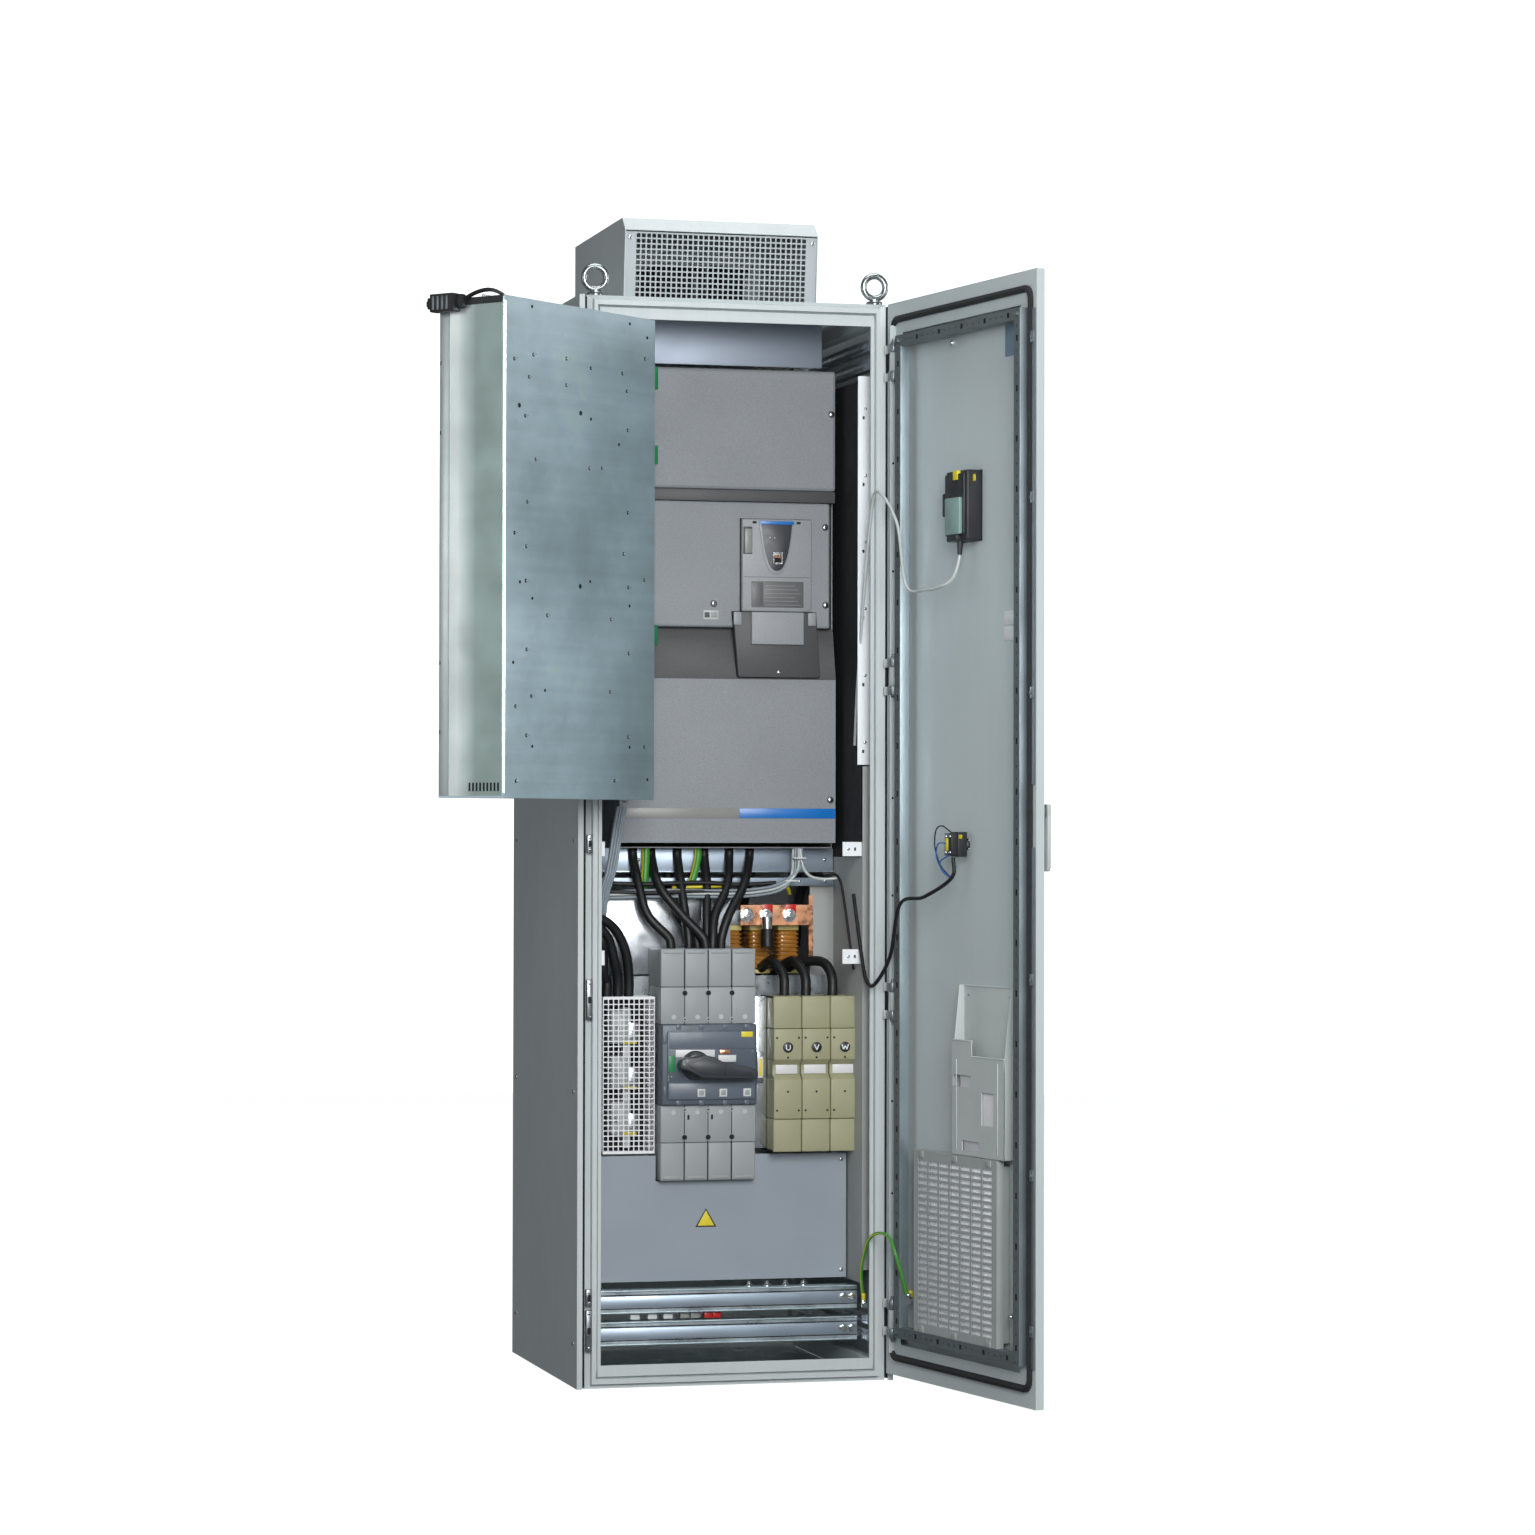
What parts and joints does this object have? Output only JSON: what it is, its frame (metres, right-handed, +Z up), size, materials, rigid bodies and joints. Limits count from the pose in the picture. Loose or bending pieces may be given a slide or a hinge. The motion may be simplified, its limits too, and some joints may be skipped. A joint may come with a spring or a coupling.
{
  "type": "variable frequency drive cabinet",
  "caption": "Floor-standing drive cabinet with open door, swung-out component tray, frequency converter, main switch, terminals and roof fan hood.",
  "frame": {"origin": "middle of the cabinet's footprint on the floor", "axes": "+Z up, +Y from the door side to the back, +X to the door's hinge side"},
  "size_m": [1.0349, 1.176, 2.165],
  "materials": {
    "paint": "fine textured powder coat, light grey",
    "galvanised": "spangled zinc, satin",
    "bright_zinc": "bright zinc plate",
    "drive_grey": "matt grey",
    "dark_plastic": "fine matt moulding",
    "black_plastic": "satin",
    "beige_plastic": "matt moulding",
    "pale_plastic": "satin",
    "red_plastic": "gloss",
    "copper": "bare, lightly oxidised",
    "aluminium": "extruded, satin",
    "foam": "matt foam",
    "cable_black": "satin PVC sheath",
    "cable_grey": "pale PVC sheath",
    "cable_earth": "green and yellow PVC sheath"
  },
  "bodies": {
    "cabinet": {"cabinet_frame": "paint", "side_panel_left": "paint", "side_panel_right": "paint", "rear_panel": "paint", "floor_plate": "galvanised", "roof_plate": "paint", "roof_hood": "paint", "hood_grille": "paint", "eyebolt_front_left": "bright_zinc", "eyebolt_front_right": "bright_zinc", "eyebolt_rear_left": "bright_zinc", "eyebolt_rear_right": "bright_zinc", "air_baffle": "paint", "drive_chassis": "drive_grey", "drive_top_cover": "drive_grey", "drive_middle_cover": "drive_grey", "drive_lower_cover": "drive_grey", "keypad_module": "drive_grey", "module_cover": "drive_grey", "heat_sink": "aluminium", "mounting_plate": "galvanised", "switch_body": "dark_plastic", "switch_upper_cover": "dark_plastic", "switch_lower_cover": "dark_plastic", "motor_terminal_u": "beige_plastic", "motor_terminal_v": "beige_plastic", "motor_terminal_w": "beige_plastic", "mesh_guard": "paint", "lower_cover_plate": "drive_grey", "bottom_rail_lower": "galvanised", "bottom_rail_upper": "galvanised", "copper_busbar": "copper", "line_cables": "cable_black", "motor_cables": "cable_black", "door_hinge_1": "bright_zinc", "door_hinge_2": "bright_zinc", "door_hinge_3": "bright_zinc", "door_hinge_4": "bright_zinc", "tray_hinge_lower": "bright_zinc", "tray_hinge_upper": "bright_zinc", "keypad_cable": "cable_grey", "control_cable": "cable_black", "earth_strap": "cable_earth"},
    "fan": {"fan_impeller": "dark_plastic"},
    "main_switch_handle": {"switch_handle": "black_plastic"},
    "door": {"door_panel": "paint", "door_stiffener": "galvanised", "door_gasket": "foam", "filter_unit": "pale_plastic", "document_pocket": "pale_plastic", "keypad_holder": "black_plastic", "contact_block": "dark_plastic", "handle_base": "pale_plastic"},
    "button": {"stop_button": "red_plastic"},
    "handle_turner": {"handle_yoke": "bright_zinc"},
    "handle_grip": {"handle_lever": "pale_plastic"},
    "upper_rod": {"lock_rod_upper": "bright_zinc"},
    "lower_rod": {"lock_rod_lower": "bright_zinc"},
    "tray": {"swing_tray": "galvanised", "tray_modules": "dark_plastic"}
  },
  "joints": [
    {"name": "fan_spin", "type": "hinge", "parent": "cabinet", "child": "fan", "pos_m": [0, 0.05, 2.06], "axis": [0, 0, 1], "continuous": true},
    {"name": "main_switch_turn", "type": "hinge", "parent": "cabinet", "child": "main_switch_handle", "pos_m": [-0.0525, -0.222, 0.5825], "axis": [0, -1, 0], "range_deg": [0, 90]},
    {"name": "door_hinge", "type": "hinge", "parent": "cabinet", "child": "door", "pos_m": [0.2935, -0.312, 1], "axis": [0, 0, 1], "range_deg": [-83, 20], "deforming": ["keypad_cable", "control_cable", "earth_strap"]},
    {"name": "handle_turn", "type": "hinge", "parent": "door", "child": "handle_turner", "pos_m": [0.41245, -0.83105, 1.052], "axis": [-0.9836, -0.1805, 0], "range_deg": [0, 90]},
    {"name": "handle_lift", "type": "hinge", "parent": "handle_turner", "child": "handle_grip", "pos_m": [0.42298, -0.82912, 1.062], "axis": [0.1805, -0.9836, 0], "range_deg": [0, 40]},
    {"name": "upper_rod_slide", "type": "slide", "parent": "door", "child": "upper_rod", "axis": [0, 0, -1], "range_m": [0, 0.019]},
    {"name": "lower_rod_slide", "type": "slide", "parent": "door", "child": "lower_rod", "axis": [0, 0, 1], "range_m": [0, 0.019]},
    {"name": "stop_button_push", "type": "slide", "parent": "door", "child": "button", "axis": [-0.9836, -0.1805, 0], "range_m": [0, 0.005], "stiffness_N_per_m": 900, "springref_m": -0.001},
    {"name": "tray_hinge", "type": "hinge", "parent": "cabinet", "child": "tray", "pos_m": [-0.2405, -0.258, 1.5], "axis": [0, 0, 1], "range_deg": [0, 138.3]}
  ],
  "couplings": [
    {"joint": "upper_rod_slide", "follows": "handle_turn", "m_per_rad": 0.0115},
    {"joint": "lower_rod_slide", "follows": "handle_turn", "m_per_rad": 0.0115}
  ]
}
